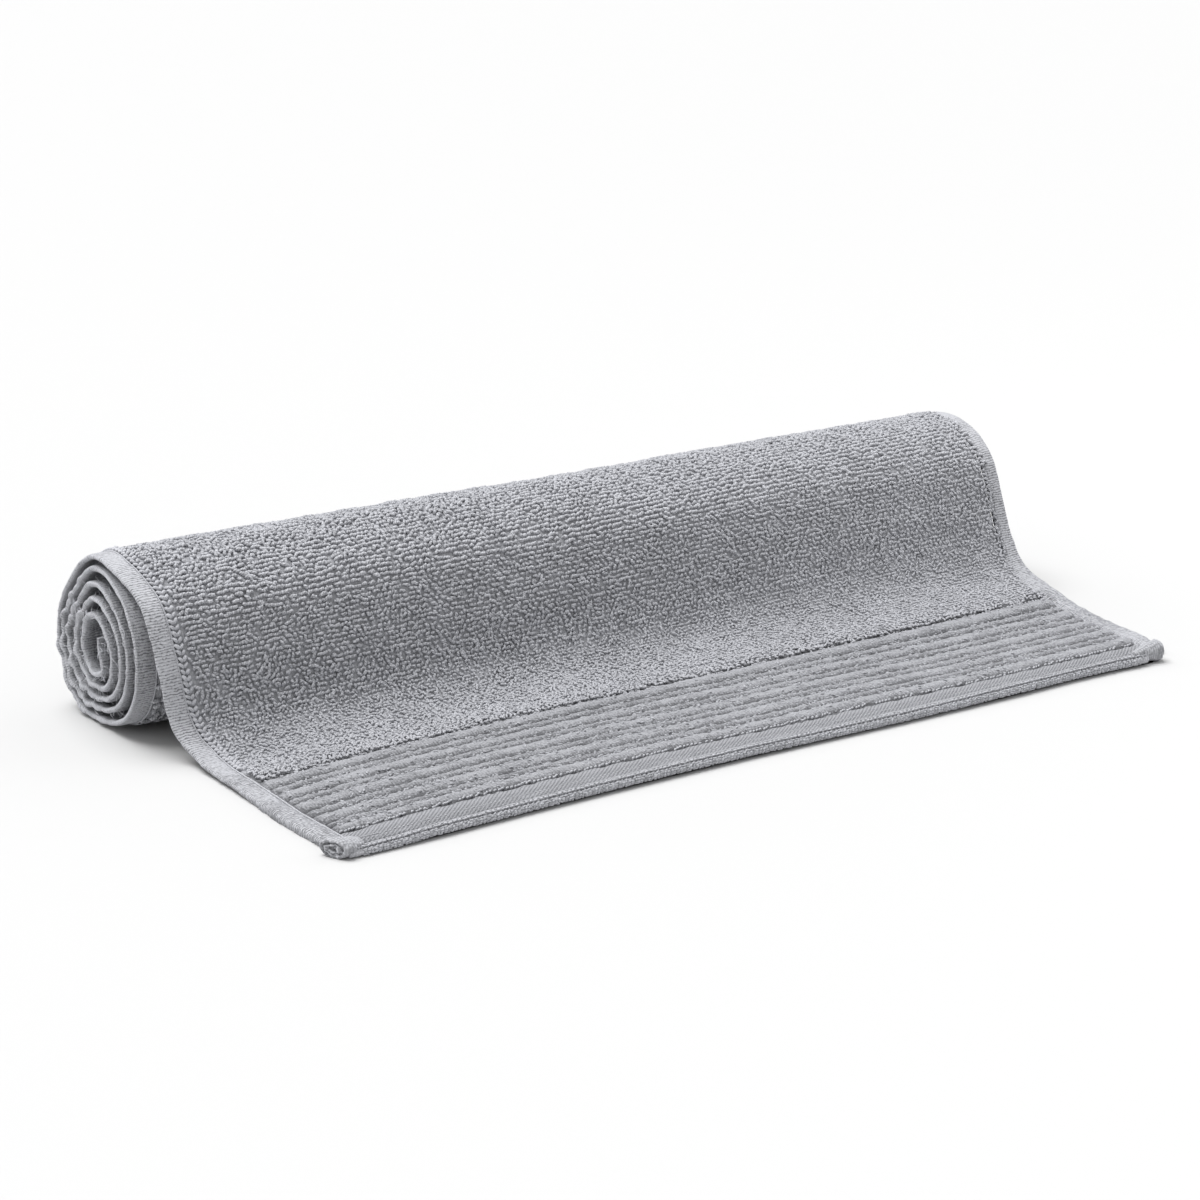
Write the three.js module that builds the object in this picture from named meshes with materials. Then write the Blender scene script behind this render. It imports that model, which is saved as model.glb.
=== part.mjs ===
// Rolled face towel: one terry cloth wound into a spiral roll, its free end
// coming over the front of the roll and lying flat on the surface.
// Millimetres, +Z up. X runs along the roll, the free end points to -Y.
import * as THREE from 'three';

// ---- driving dimensions ------------------------------------------------
const CLOTH_LENGTH = 1050;      // along the cloth, from the shown hem to the inner end
const HALF_THICK = 2.2;         // cloth body, half of its thickness with loops
const ROLL_AXIS = { y: 10, z: 38.5 };   // centre the turn radii are measured from
const SIDE_HEM = 9.5;           // width of the smooth band along each side
const REST_LENGTH = 70;         // how much of the free end lies flat on the surface
const REST_BLEND = 22;          // over this much more its underside eases off the surface
const ORIGIN = { x: -1.94, y: 73.4 };   // puts the origin under the middle of the whole piece

// Radius of the cloth's mid-line from the roll's axis, a row per turn from the
// outside in; the columns go over the top to the back and under to the front.
const DIRECTIONS = ['frontTop', 'top', 'backTop', 'back', 'backLow', 'bottom', 'frontLow', 'front'];
const TURNS = [
  { frontTop: 47.5, top: 41.5, backTop: 36.6, back: 42.7, backLow: 43.8, bottom: 36.3, frontLow: 39.4, front: 42.4 },
  { frontTop: 39.8, top: 35.8, backTop: 29.8, back: 36.9, backLow: 37.6, bottom: 30.4, frontLow: 31.6, front: 33.2 },
  { frontTop: 30.6, top: 29.0, backTop: 23.7, back: 29.8, backLow: 29.6, bottom: 24.8, frontLow: 25.8, front: 27.0 },
  { frontTop: 24.2, top: 22.4, backTop: 17.9, back: 20.0, backLow: 20.0, bottom: 19.1, frontLow: 19.9, front: 18.2 },
  { frontTop: 15.9, top: 15.2, backTop: 12.0, back: 10.8, backLow: 12.3, bottom: 12.9, frontLow: 12.6, front: 6.6 },
];
// how much fuller the outer turn stands at the right-hand end than at the left
const FULLER_RIGHT = { frontTop: 6.0, top: 4.6, backTop: 1.9, back: 0.8, backLow: 0, bottom: 0, frontLow: 0, front: 0 };

// Mid-line of the free end, a row per station from the hem up to the roll,
// at the left-hand side and at the right-hand side of the cloth.
const FREE_END = [
  { at: 'hem',      left: { y: -204.0, z: 2.2 },  right: { y: -194.5, z: 2.2 } },
  { at: 'border',   left: { y: -160.0, z: 2.2 },  right: { y: -156.0, z: 2.2 } },
  { at: 'flat',     left: { y: -120.0, z: 2.2 },  right: { y: -119.0, z: 2.3 } },
  { at: 'flat end', left: { y: -98.0,  z: 2.2 },  right: { y: -98.0,  z: 5.2 } },
  { at: 'lift',     left: { y: -82.0,  z: 2.6 },  right: { y: -84.0,  z: 9.0 } },
  { at: 'ramp',     left: { y: -69.0,  z: 4.4 },  right: { y: -73.0,  z: 12.0 } },
  { at: 'foot',     left: { y: -59.5,  z: 8.0 },  right: { y: -64.5,  z: 16.2 } },
  { at: 'bend',     left: { y: -52.8,  z: 14.2 }, right: { y: -58.2,  z: 22.6 } },
  { at: 'shin',     left: { y: -48.8,  z: 23.5 }, right: { y: -53.2,  z: 30.2 } },
  { at: 'front',    left: { y: -45.4,  z: 37.5 }, right: { y: -48.4,  z: 40.5 } },
  { at: 'chest',    left: { y: -40.4,  z: 52.0 }, right: { y: -43.0,  z: 53.5 } },
  { at: 'shoulder', left: { y: -33.6,  z: 64.6 }, right: { y: -36.4,  z: 67.4 } },
];

// Sideways run of the two side edges along the cloth: the roll is wound a
// little askew, and the border draws the shown end in on its right.
const SIDE_EDGES = [
  { from: 0,    left: -241.5, right: 223.0 },
  { from: 3,    left: -241.2, right: 229.0 },
  { from: 8,    left: -241.0, right: 233.5 },
  { from: 25,   left: -241.0, right: 239.0 },
  { from: 50,   left: -241.5, right: 244.5 },
  { from: 80,   left: -239.9, right: 250.0 },
  { from: 100,  left: -239.2, right: 251.2 },
  { from: 136,  left: -238.6, right: 252.2 },
  { from: 147,  left: -240.6, right: 252.4 },
  { from: 160,  left: -242.4, right: 252.6 },
  { from: 185,  left: -243.9, right: 253.0 },
  { from: 210,  left: -244.8, right: 253.3 },
  { from: 236,  left: -247.6, right: 253.5 },
  { from: 480,  left: -247.8, right: 252.6 },
  { from: 700,  left: -248.6, right: 251.8 },
  { from: 1050, left: -249.6, right: 250.8 },
];

// The free end does not lie quite straight: how far the hem and the ribbed
// border bow back from a straight run, across the cloth.
const BOW = [
  { from: -241, hem: 1.5,  border: 1.0 },
  { from: -214, hem: 0.8,  border: 4.0 },
  { from: -190, hem: 1.0,  border: 6.2 },
  { from: -152, hem: 2.3,  border: 7.4 },
  { from: -112, hem: 3.2,  border: 7.3 },
  { from: -72,  hem: 3.4,  border: 7.0 },
  { from: -30,  hem: 3.4,  border: 5.4 },
  { from: 11,   hem: 2.0,  border: 4.0 },
  { from: 55,   hem: 0.2,  border: 3.4 },
  { from: 92,   hem: -0.3, border: 2.0 },
  { from: 130,  hem: -0.2, border: 0.5 },
  { from: 164,  hem: 0.6,  border: 0.5 },
  { from: 194,  hem: -0.3, border: 0.3 },
  { from: 211,  hem: -2.0, border: 0.0 },
  { from: 230,  hem: -2.5, border: 0.0 },
];
const BOW_FADES = [                        // share of the border's bow left, along the cloth
  { from: 0, hem: 1, border: 0 }, { from: 22, hem: 0, border: 1 }, { from: 60, hem: 0, border: 1 },
  { from: 95, hem: 0, border: 0.6 }, { from: 140, hem: 0, border: 0 }, { from: CLOTH_LENGTH, hem: 0, border: 0 },
];

// Height of the cloth over its underside, by zone from the hem inwards.
const RIB_PAIRS = 5, RIB_PITCH = 16.7, RIBS_FROM = 21.5;
const ZONES = [
  { from: 0,    over: 1.7, under: 1.3 },   // nose of the rolled hem
  { from: 1.4,  over: 2.9, under: 2.2 },
  { from: 4.2,  over: 2.9, under: 2.2 },
  { from: 6.0,  over: 1.1, under: 2.2 },   // flat header
  { from: 20.5, over: 0.9, under: 2.2 },
];
for (let k = 0; k < RIB_PAIRS; k++) {      // a broad rib and a narrow one, side by side
  const a = RIBS_FROM + k * RIB_PITCH;
  ZONES.push({ from: a, over: 0.9, under: 2.2 }, { from: a + 2.4, over: 2.3, under: 2.2 },
    { from: a + 8.6, over: 2.3, under: 2.2 }, { from: a + 10.8, over: 0.9, under: 2.2 },
    { from: a + 12.4, over: 1.4, under: 2.2 }, { from: a + 15.0, over: 1.4, under: 2.2 });
}
ZONES.push({ from: RIBS_FROM + RIB_PAIRS * RIB_PITCH, over: 0.9, under: 2.2 },
  { from: RIBS_FROM + RIB_PAIRS * RIB_PITCH + 2.5, over: HALF_THICK, under: HALF_THICK },
  { from: CLOTH_LENGTH - 12, over: HALF_THICK, under: HALF_THICK },
  { from: CLOTH_LENGTH - 5, over: 1.4, under: 1.4 },
  { from: CLOTH_LENGTH, over: 0.7, under: 0.7 });

// Stations across the cloth: distance in from a side edge, or a share of the rest.
const ACROSS = [
  { edge: 0, share: 0, over: 0.45, under: 0.45 }, { edge: 1.6, share: 0, over: 0.72, under: 0.72 },
  { edge: SIDE_HEM, share: 0, over: 0.72, under: 0.72 }, { edge: SIDE_HEM + 2.2, share: 0, over: 1, under: 1 },
  { edge: SIDE_HEM + 2.2, share: 0.10, over: 1, under: 1 }, { edge: SIDE_HEM + 2.2, share: 0.20, over: 1, under: 1 },
  { edge: SIDE_HEM + 2.2, share: 0.35, over: 1, under: 1 },
  { edge: SIDE_HEM + 2.2, share: 0.5, over: 1, under: 1 },
];

// ---- helpers -------------------------------------------------------------
const mix = (a, b, t) => a + (b - a) * t;

function lookUp(rows, key, s) {            // straight-line reading of a table by its 'from' column
  let i = 0;
  while (i < rows.length - 2 && rows[i + 1].from <= s) i++;
  const a = rows[i], b = rows[i + 1];
  const t = Math.min(1, Math.max(0, (s - a.from) / (b.from - a.from)));
  return mix(a[key], b[key], t);
}

// natural cubic through values v at parameters t
function spline(t, v) {
  const n = t.length, m = new Array(n).fill(0), c = new Array(n).fill(0), d = new Array(n).fill(0);
  for (let i = 1; i < n - 1; i++) {
    const h0 = t[i] - t[i - 1], h1 = t[i + 1] - t[i];
    const rhs = 6 * ((v[i + 1] - v[i]) / h1 - (v[i] - v[i - 1]) / h0);
    const den = 2 * (h0 + h1) - h0 * c[i - 1];
    c[i] = h1 / den;
    d[i] = (rhs - h0 * d[i - 1]) / den;
  }
  for (let i = n - 2; i > 0; i--) m[i] = d[i] - c[i] * m[i + 1];
  return (x) => {
    let i = 0;
    while (i < n - 2 && t[i + 1] <= x) i++;
    const h = t[i + 1] - t[i], a = (t[i + 1] - x) / h, b = (x - t[i]) / h;
    return a * v[i] + b * v[i + 1] + ((a * a * a - a) * m[i] + (b * b * b - b) * m[i + 1]) * h * h / 6;
  };
}

// soft unevenness of the wound turns along the roll (mm)
function unevenness(turn, dir, across) {
  const a = 2 * Math.PI * across;
  return (0.32 * Math.sin(1.3 * a + 1.1 * turn + 0.8 * dir) + 0.18 * Math.sin(2.7 * a + 2.3 * dir + 0.6 * turn));
}

// Mid-line of one cross-section as a function of the length along the cloth.
// across: 0 at the left side edge, 1 at the right one.
function midLine(across) {
  const pts = FREE_END.map((r) => [mix(r.left.y, r.right.y, across), mix(r.left.z, r.right.z, across)]);
  TURNS.forEach((row, turn) => DIRECTIONS.forEach((name, k) => {
    const angle = (k + 1) * Math.PI / 4;
    const radius = row[name] + (turn === 0 ? FULLER_RIGHT[name] * across : 0)
      + (name === 'bottom' && turn === 0 ? 0 : unevenness(turn, k, across));
    pts.push([ROLL_AXIS.y - radius * Math.cos(angle), ROLL_AXIS.z + radius * Math.sin(angle)]);
  }));
  pts.push([ROLL_AXIS.y - 6.4, ROLL_AXIS.z + 5.2]);
  const t = [0];
  for (let i = 1; i < pts.length; i++) t.push(t[i - 1] + Math.hypot(pts[i][0] - pts[i - 1][0], pts[i][1] - pts[i - 1][1]));
  const fy = spline(t, pts.map((p) => p[0])), fz = spline(t, pts.map((p) => p[1]));
  const STEPS = 2600, line = [];
  let s = 0, py = fy(0), pz = fz(0);
  for (let i = 0; i <= STEPS; i++) {
    const x = t[t.length - 1] * i / STEPS, y = fy(x), z = fz(x);
    s += Math.hypot(y - py, z - pz);
    line.push([s, y, z]);
    py = y; pz = z;
  }
  return line;
}

function onLine(line, s) {
  let lo = 0, hi = line.length - 1;
  while (hi - lo > 1) { const m = (lo + hi) >> 1; if (line[m][0] <= s) lo = m; else hi = m; }
  const a = line[lo], b = line[hi], t = Math.min(1.2, (s - a[0]) / Math.max(1e-9, b[0] - a[0]));
  return [mix(a[1], b[1], t), mix(a[2], b[2], t)];
}

// ---- stations along the cloth ---------------------------------------------
function stationsAlong() {
  const out = ZONES.map((r) => r.from).filter((s) => s < CLOTH_LENGTH - 6);
  let s = RIBS_FROM + RIB_PAIRS * RIB_PITCH + 2.5;
  while (s < CLOTH_LENGTH - 16) {
    const step = s < 175 ? 6.5 : s < 520 ? 10.5 : s < 760 ? 8.5 : s < 920 ? 6.5 : 4.4;
    s += step;
    out.push(s);
  }
  out.push(CLOTH_LENGTH - 12, CLOTH_LENGTH - 5, CLOTH_LENGTH);
  return [...new Set(out.map((v) => Math.round(v * 10) / 10))].sort((a, b) => a - b);
}

function bowAt(x, s) {
  return lookUp(BOW, 'hem', x) * lookUp(BOW_FADES, 'hem', s) + lookUp(BOW, 'border', x) * lookUp(BOW_FADES, 'border', s);
}

function stationsAcross() {
  const left = ACROSS.map((r) => ({ ...r, side: 'left' }));
  const right = ACROSS.slice(0, -1).reverse().map((r) => ({ ...r, side: 'right' }));
  return [...left, ...right];
}

// ---- the cloth as one closed body ------------------------------------------
function towelGeometry() {
  const along = stationsAlong(), acrossRows = stationsAcross();
  const over = [], under = [];
  for (const row of acrossRows) {
    const nominal = (row.edge + row.share * (500 - 2 * SIDE_HEM - 4.4)) / 500;
    const across = row.side === 'left' ? nominal : 1 - nominal;
    const line = midLine(across);
    const total = line[line.length - 1][0];
    const o = [], u = [];
    for (const s of along) {
      const here = s * total / CLOTH_LENGTH;
      const p = onLine(line, here), q0 = onLine(line, Math.max(0, here - 0.6)), q1 = onLine(line, here + 0.6);
      let ty = q1[0] - q0[0], tz = q1[1] - q0[1];
      const len = Math.hypot(ty, tz); ty /= len; tz /= len;
      const lx = lookUp(SIDE_EDGES, 'left', s), rx = lookUp(SIDE_EDGES, 'right', s);
      const width = rx - lx, inner = width - 2 * SIDE_HEM - 4.4;
      const inFrom = row.edge + row.share * inner;
      const x = row.side === 'left' ? lx + inFrom : rx - inFrom;
      const t1 = lookUp(ZONES, 'over', s) * row.over, t0 = lookUp(ZONES, 'under', s) * row.under;
      // the over side looks up on the free end and outwards on the roll
      const oy = p[0] - tz * t1;
      let oz = p[1] + ty * t1;
      const uy = p[0] + tz * t0;
      let uz = p[1] - ty * t0;
      uz = Math.max(0, uz) * Math.min(1, Math.max(0, (s - REST_LENGTH) / REST_BLEND));
      if (s < 1) uz = 0.9;
      oz = Math.max(0, oz);
      const dx = ORIGIN.x, dy = ORIGIN.y + bowAt(x, s);
      o.push([x + dx, oy + dy, oz]);
      u.push([x + dx, uy + dy, uz]);
    }
    over.push(o); under.push(u);
  }
  const pos = [];
  const quad = (a, b, c, d) => { pos.push(...a, ...b, ...c, ...a, ...c, ...d); };
  const A = acrossRows.length, S = along.length;
  for (let i = 0; i < A - 1; i++) {
    for (let j = 0; j < S - 1; j++) {
      quad(over[i][j], over[i + 1][j], over[i + 1][j + 1], over[i][j + 1]);
      quad(under[i][j], under[i][j + 1], under[i + 1][j + 1], under[i + 1][j]);
    }
  }
  for (let j = 0; j < S - 1; j++) {
    quad(over[0][j], over[0][j + 1], under[0][j + 1], under[0][j]);
    quad(over[A - 1][j], under[A - 1][j], under[A - 1][j + 1], over[A - 1][j + 1]);
  }
  for (let i = 0; i < A - 1; i++) {
    quad(over[i][0], under[i][0], under[i + 1][0], over[i + 1][0]);
    quad(over[i][S - 1], over[i + 1][S - 1], under[i + 1][S - 1], under[i][S - 1]);
  }
  const g = new THREE.BufferGeometry();
  g.setAttribute('position', new THREE.Float32BufferAttribute(pos, 3));
  g.computeVertexNormals();
  return g;
}

const group = new THREE.Group();
const cloth = new THREE.MeshStandardMaterial({ color: 0x9b9ca2, roughness: 0.95, metalness: 0 });
const towel = new THREE.Mesh(towelGeometry(), cloth);
towel.name = 'towel';
group.add(towel);

export default group;
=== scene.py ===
"""Rolled terry face towel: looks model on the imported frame.

Sizes below are in millimetres, in the cloth's own measures: s runs along the
cloth from the shown hem to the inner end, d in from a side edge, h over the
cloth's mid-line. place() turns them into the frame's metres.
"""
import bpy
import math
import numpy as np
from mathutils import Matrix, Vector


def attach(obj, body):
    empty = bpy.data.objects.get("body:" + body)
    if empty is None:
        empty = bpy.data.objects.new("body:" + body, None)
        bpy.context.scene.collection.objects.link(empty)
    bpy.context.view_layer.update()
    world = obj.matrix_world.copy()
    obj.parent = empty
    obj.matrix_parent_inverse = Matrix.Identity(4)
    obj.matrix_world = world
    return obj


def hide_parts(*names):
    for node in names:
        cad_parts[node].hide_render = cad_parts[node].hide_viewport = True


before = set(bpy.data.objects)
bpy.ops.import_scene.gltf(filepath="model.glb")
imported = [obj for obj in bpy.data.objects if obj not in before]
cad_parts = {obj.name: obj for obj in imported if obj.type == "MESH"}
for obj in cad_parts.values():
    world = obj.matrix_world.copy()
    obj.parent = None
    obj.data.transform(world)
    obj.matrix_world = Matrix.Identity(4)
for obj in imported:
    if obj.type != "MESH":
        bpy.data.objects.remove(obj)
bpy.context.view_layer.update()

# ---- the wound cloth, as in the solid --------------------------------------
CLOTH_LENGTH = 1050.0
AXIS_Y, AXIS_Z = 10.0, 38.5
SIDE_HEM = 9.5
REST_LENGTH, REST_BLEND = 70.0, 22.0
ORIGIN_X, ORIGIN_Y = -1.94, 73.4
DIRECTIONS = ("frontTop", "top", "backTop", "back", "backLow", "bottom", "frontLow", "front")
TURNS = (
    dict(frontTop=47.5, top=41.5, backTop=36.6, back=42.7, backLow=43.8, bottom=36.3, frontLow=39.4, front=42.4),
    dict(frontTop=39.8, top=35.8, backTop=29.8, back=36.9, backLow=37.6, bottom=30.4, frontLow=31.6, front=33.2),
    dict(frontTop=30.6, top=29.0, backTop=23.7, back=29.8, backLow=29.6, bottom=24.8, frontLow=25.8, front=27.0),
    dict(frontTop=24.2, top=22.4, backTop=17.9, back=20.0, backLow=20.0, bottom=19.1, frontLow=19.9, front=18.2),
    dict(frontTop=15.9, top=15.2, backTop=12.0, back=10.8, backLow=12.3, bottom=12.9, frontLow=12.6, front=6.6),
)
FULLER_RIGHT = dict(frontTop=6.0, top=4.6, backTop=1.9, back=0.8, backLow=0, bottom=0, frontLow=0, front=0)
FREE_END = (  # at, left y, left z, right y, right z
    ("hem", -204.0, 2.2, -194.5, 2.2), ("border", -160.0, 2.2, -156.0, 2.2),
    ("flat", -120.0, 2.2, -119.0, 2.3), ("flat end", -98.0, 2.2, -98.0, 5.2),
    ("lift", -82.0, 2.6, -84.0, 9.0), ("ramp", -69.0, 4.4, -73.0, 12.0),
    ("foot", -59.5, 8.0, -64.5, 16.2), ("bend", -52.8, 14.2, -58.2, 22.6),
    ("shin", -48.8, 23.5, -53.2, 30.2), ("front", -45.4, 37.5, -48.4, 40.5),
    ("chest", -40.4, 52.0, -43.0, 53.5), ("shoulder", -33.6, 64.6, -36.4, 67.4),
)
SIDE_EDGES = np.array([  # from, left x, right x
    (0, -241.5, 223.0), (3, -241.2, 229.0), (8, -241.0, 233.5), (25, -241.0, 239.0), (50, -241.5, 244.5),
    (80, -239.9, 250.0), (100, -239.2, 251.2), (136, -238.6, 252.2), (147, -240.6, 252.4), (160, -242.4, 252.6),
    (185, -243.9, 253.0), (210, -244.8, 253.3), (236, -247.6, 253.5), (480, -247.8, 252.6), (700, -248.6, 251.8),
    (1050, -249.6, 250.8)])
BOW = np.array([  # from, hem, border: how far the free end bows back from a straight run
    (-241, 1.5, 1.0), (-214, 0.8, 4.0), (-190, 1.0, 6.2), (-152, 2.3, 7.4), (-112, 3.2, 7.3), (-72, 3.4, 7.0),
    (-30, 3.4, 5.4), (11, 2.0, 4.0), (55, 0.2, 3.4), (92, -0.3, 2.0), (130, -0.2, 0.5), (164, 0.6, 0.5),
    (194, -0.3, 0.3), (211, -2.0, 0.0), (230, -2.5, 0.0)])
RIB_PAIRS, RIB_PITCH, RIBS_FROM = 5, 16.7, 21.5
BORDER_END = RIBS_FROM + RIB_PAIRS * RIB_PITCH


def natural_spline(t, v):
    """Coefficients of the natural cubic through v at t: returns a reader of new parameters."""
    n = len(t)
    h = np.diff(t)
    a = np.zeros((n, n))
    rhs = np.zeros(n)
    a[0, 0] = a[-1, -1] = 1
    for i in range(1, n - 1):
        a[i, i - 1:i + 2] = h[i - 1], 2 * (h[i - 1] + h[i]), h[i]
        rhs[i] = 6 * ((v[i + 1] - v[i]) / h[i] - (v[i] - v[i - 1]) / h[i - 1])
    m = np.linalg.solve(a, rhs)

    def read(x):
        i = np.clip(np.searchsorted(t, x, side="right") - 1, 0, n - 2)
        hi = h[i]
        p, q = (t[i + 1] - x) / hi, (x - t[i]) / hi
        return p * v[i] + q * v[i + 1] + ((p ** 3 - p) * m[i] + (q ** 3 - q) * m[i + 1]) * hi * hi / 6
    return read


def unevenness(turn, k, across):
    a = 2 * math.pi * across
    return 0.32 * math.sin(1.3 * a + 1.1 * turn + 0.8 * k) + 0.18 * math.sin(2.7 * a + 2.3 * k + 0.6 * turn)


def mid_line(across):
    pts = [(ly + (ry - ly) * across, lz + (rz - lz) * across) for _, ly, lz, ry, rz in FREE_END]
    for turn, row in enumerate(TURNS):
        for k, name in enumerate(DIRECTIONS):
            angle = (k + 1) * math.pi / 4
            r = row[name] + (FULLER_RIGHT[name] * across if turn == 0 else 0)
            if not (name == "bottom" and turn == 0):
                r += unevenness(turn, k, across)
            pts.append((AXIS_Y - r * math.cos(angle), AXIS_Z + r * math.sin(angle)))
    pts.append((AXIS_Y - 6.4, AXIS_Z + 5.2))
    pts = np.array(pts)
    t = np.r_[0, np.cumsum(np.hypot(*np.diff(pts, axis=0).T))]
    x = np.linspace(0, t[-1], 2601)
    y, z = natural_spline(t, pts[:, 0])(x), natural_spline(t, pts[:, 1])(x)
    s = np.r_[0, np.cumsum(np.hypot(np.diff(y), np.diff(z)))]
    even = np.linspace(0, s[-1], 2101)
    return np.interp(even, s, y), np.interp(even, s, z)


ACROSS = 61
STEP = CLOTH_LENGTH / 2100
LINES = np.array([mid_line(a) for a in np.linspace(0, 1, ACROSS)])          # (across, 2, along)
TANGENT = np.gradient(LINES, axis=2)
TANGENT /= np.linalg.norm(TANGENT, axis=1, keepdims=True)
FIELDS = np.concatenate([LINES, TANGENT], axis=1)                           # y, z, ty, tz


def edges_at(s):
    return np.interp(s, SIDE_EDGES[:, 0], SIDE_EDGES[:, 1]), np.interp(s, SIDE_EDGES[:, 0], SIDE_EDGES[:, 2])


def bow_at(x, s):
    return (np.interp(x, BOW[:, 0], BOW[:, 1]) * np.interp(s, (0, 22), (1, 0))
            + np.interp(x, BOW[:, 0], BOW[:, 2]) * np.interp(s, (0, 22, 60, 95, 140), (0, 1, 1, 0.6, 0)))


def read_fields(across, s):
    u = np.clip(across, 0, 1) * (ACROSS - 1)
    v = np.clip(s, 0, CLOTH_LENGTH) / STEP
    i, j = np.minimum(u.astype(int), ACROSS - 2), np.minimum(v.astype(int), 2099)
    fu, fv = u - i, v - j
    f = FIELDS
    return [(f[i, c, j] * (1 - fu) * (1 - fv) + f[i + 1, c, j] * fu * (1 - fv)
             + f[i, c, j + 1] * (1 - fu) * fv + f[i + 1, c, j + 1] * fu * fv) for c in range(4)]


def smooth(a, b, v):
    t = np.clip((v - a) / (b - a), 0, 1)
    return t * t * (3 - 2 * t)


def lattice_noise(x, y, seed):
    """Soft noise from -1 to 1 on a unit lattice."""
    table = np.random.default_rng(seed).uniform(-1, 1, (64, 64))
    xi, yi = np.floor(x).astype(int), np.floor(y).astype(int)
    fx, fy = x - xi, y - yi
    fx, fy = fx * fx * (3 - 2 * fx), fy * fy * (3 - 2 * fy)
    g = lambda a, b: table[a % 64, b % 64]
    return (g(xi, yi) * (1 - fx) * (1 - fy) + g(xi + 1, yi) * fx * (1 - fy)
            + g(xi, yi + 1) * (1 - fx) * fy + g(xi + 1, yi + 1) * fx * fy)


FOLD_STARTS = [300 + np.cumsum(np.random.default_rng(seed).uniform(6.0, 12.5, 90)) for seed in (51, 52)]


def pillow(s, side):
    """0 at the pinches between the hem's small folds, 1 on top of each fold."""
    at = FOLD_STARTS[side]
    i = np.clip(np.searchsorted(at, s) - 1, 0, len(at) - 2)
    t = np.clip((s - at[i]) / (at[i + 1] - at[i]), 0, 1)
    return 0.7 * np.sqrt(np.clip(1 - (2 * t - 1) ** 2, 0, 1)) + 0.3 * (1 - np.abs(2 * t - 1)), np.where(i % 2 == 0, 1.0, -1.0), (i * 37 % 11) / 10.0


def pucker(y, z, s, dl, dr):
    """How far the cloth near the two ends is drawn in towards the roll's axis, and moved along it."""
    phi = np.arctan2(z - AXIS_Z, -(y - AXIS_Y))                 # 0 at the front, pi/2 at the top
    rolled = smooth(250, 285, s)
    back = np.clip(0.5 - 0.62 * np.cos(phi - 0.25), 0.08, 1)
    radius = np.hypot(y - AXIS_Y, z - AXIS_Z)
    near = np.minimum(dl, dr)
    fl, wl, rl = pillow(s, 0)
    fr, wr, rr = pillow(s, 1)
    left = dl < dr
    fold, way, own = np.where(left, fl, fr), np.where(left, wl, wr), np.where(left, rl, rr)
    turn = 0.6 + 1.9 * smooth(480, 570, s)
    pull = rolled * back * smooth(5, 20, radius) * (0.55 + 0.75 * own)
    inward = turn * pull * np.exp(-near / 8.5) * (0.62 - fold)
    sideways = 0.65 * pull * np.exp(-near / 14.0) * way * fold - 0.5 * pull * np.exp(-near / 6.0) * (1 - fold) * -1
    return inward, np.where(left, sideways, -sideways)


def place(s, x_in, side, h):
    """Frame metres of points at s along, x_in from the left (side 0) or right (side 1) edge, h over the mid-line.

    side may also be 2: x_in is then a share, 0 to 1, of the whole width.
    Returns points, unit over-side normals and unit along-cloth tangents.
    """
    s, x_in, h = np.broadcast_arrays(np.asarray(s, float), np.asarray(x_in, float), np.asarray(h, float))
    left, right = edges_at(s)
    x = left + x_in if side == 0 else right - x_in if side == 1 else left + x_in * (right - left)
    across = (x - left) / (right - left)
    y, z, ty, tz = read_fields(across, s)
    n = np.hypot(ty, tz)
    ty, tz = ty / n, tz / n
    dl, dr = np.maximum(x - left, 0), np.maximum(right - x, 0)
    inward, sideways = pucker(y, z, s, dl, dr)
    # the outer turn's edges lean in a little towards the axis
    near = np.minimum(dl, dr)
    lean = 0.6 * smooth(190, 235, s) * (1 - smooth(0, 17, near)) * (1 - smooth(420, 520, s))
    off = h - inward - lean
    py, pz = y - tz * off, z + ty * off
    rest = np.clip((s - REST_LENGTH) / REST_BLEND, 0, 1)
    under = h < -1.0
    pz = np.where(under, np.maximum(pz, 0) * rest, np.maximum(pz, 0.0))
    p = np.stack([x + sideways + ORIGIN_X, py + bow_at(x, s) + ORIGIN_Y, pz], -1) / 1000
    zero = np.zeros_like(ty)
    return p, np.stack([zero, -tz, ty], -1), np.stack([zero, ty, tz], -1)


# ---- mesh helpers -----------------------------------------------------------
def mesh_object(name, verts, faces, material, flat=None, face_material=None, smooth_shade=True):
    """faces is a list of (count, 3) and (count, 4) index arrays."""
    verts = np.array(verts, float)
    verts[:, 2] = np.maximum(verts[:, 2], 0.0)
    me = bpy.data.meshes.new(name)
    me.vertices.add(len(verts))
    me.vertices.foreach_set("co", np.ascontiguousarray(verts, np.float32).ravel())
    corners = np.concatenate([f.ravel() for f in faces]).astype(np.int32)
    sizes = np.concatenate([np.full(len(f), f.shape[1]) for f in faces])
    me.loops.add(len(corners))
    me.loops.foreach_set("vertex_index", corners)
    me.polygons.add(len(sizes))
    me.polygons.foreach_set("loop_start", np.r_[0, np.cumsum(sizes)[:-1]].astype(np.int32))
    me.polygons.foreach_set("use_smooth", np.full(len(sizes), smooth_shade))
    mats = material if isinstance(material, (list, tuple)) else [material]
    for m in mats:
        me.materials.append(m)
    if face_material is not None:
        me.polygons.foreach_set("material_index", face_material.astype(np.int32))
    if flat is not None:
        at = me.attributes.new("flat", "FLOAT_VECTOR", "POINT")
        at.data.foreach_set("vector", np.ascontiguousarray(flat, np.float32).ravel())
    me.update(calc_edges=True)
    me.validate()
    ob = bpy.data.objects.new(name, me)
    bpy.context.scene.collection.objects.link(ob)
    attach(ob, "root")
    return ob


def grid_quads(rows, cols, start=0, flip=False):
    i, j = np.meshgrid(np.arange(rows - 1), np.arange(cols - 1), indexing="ij")
    a = start + i * cols + j
    q = np.stack([a, a + 1, a + cols + 1, a + cols], -1).reshape(-1, 4)
    return q[:, ::-1] if flip else q


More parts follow.
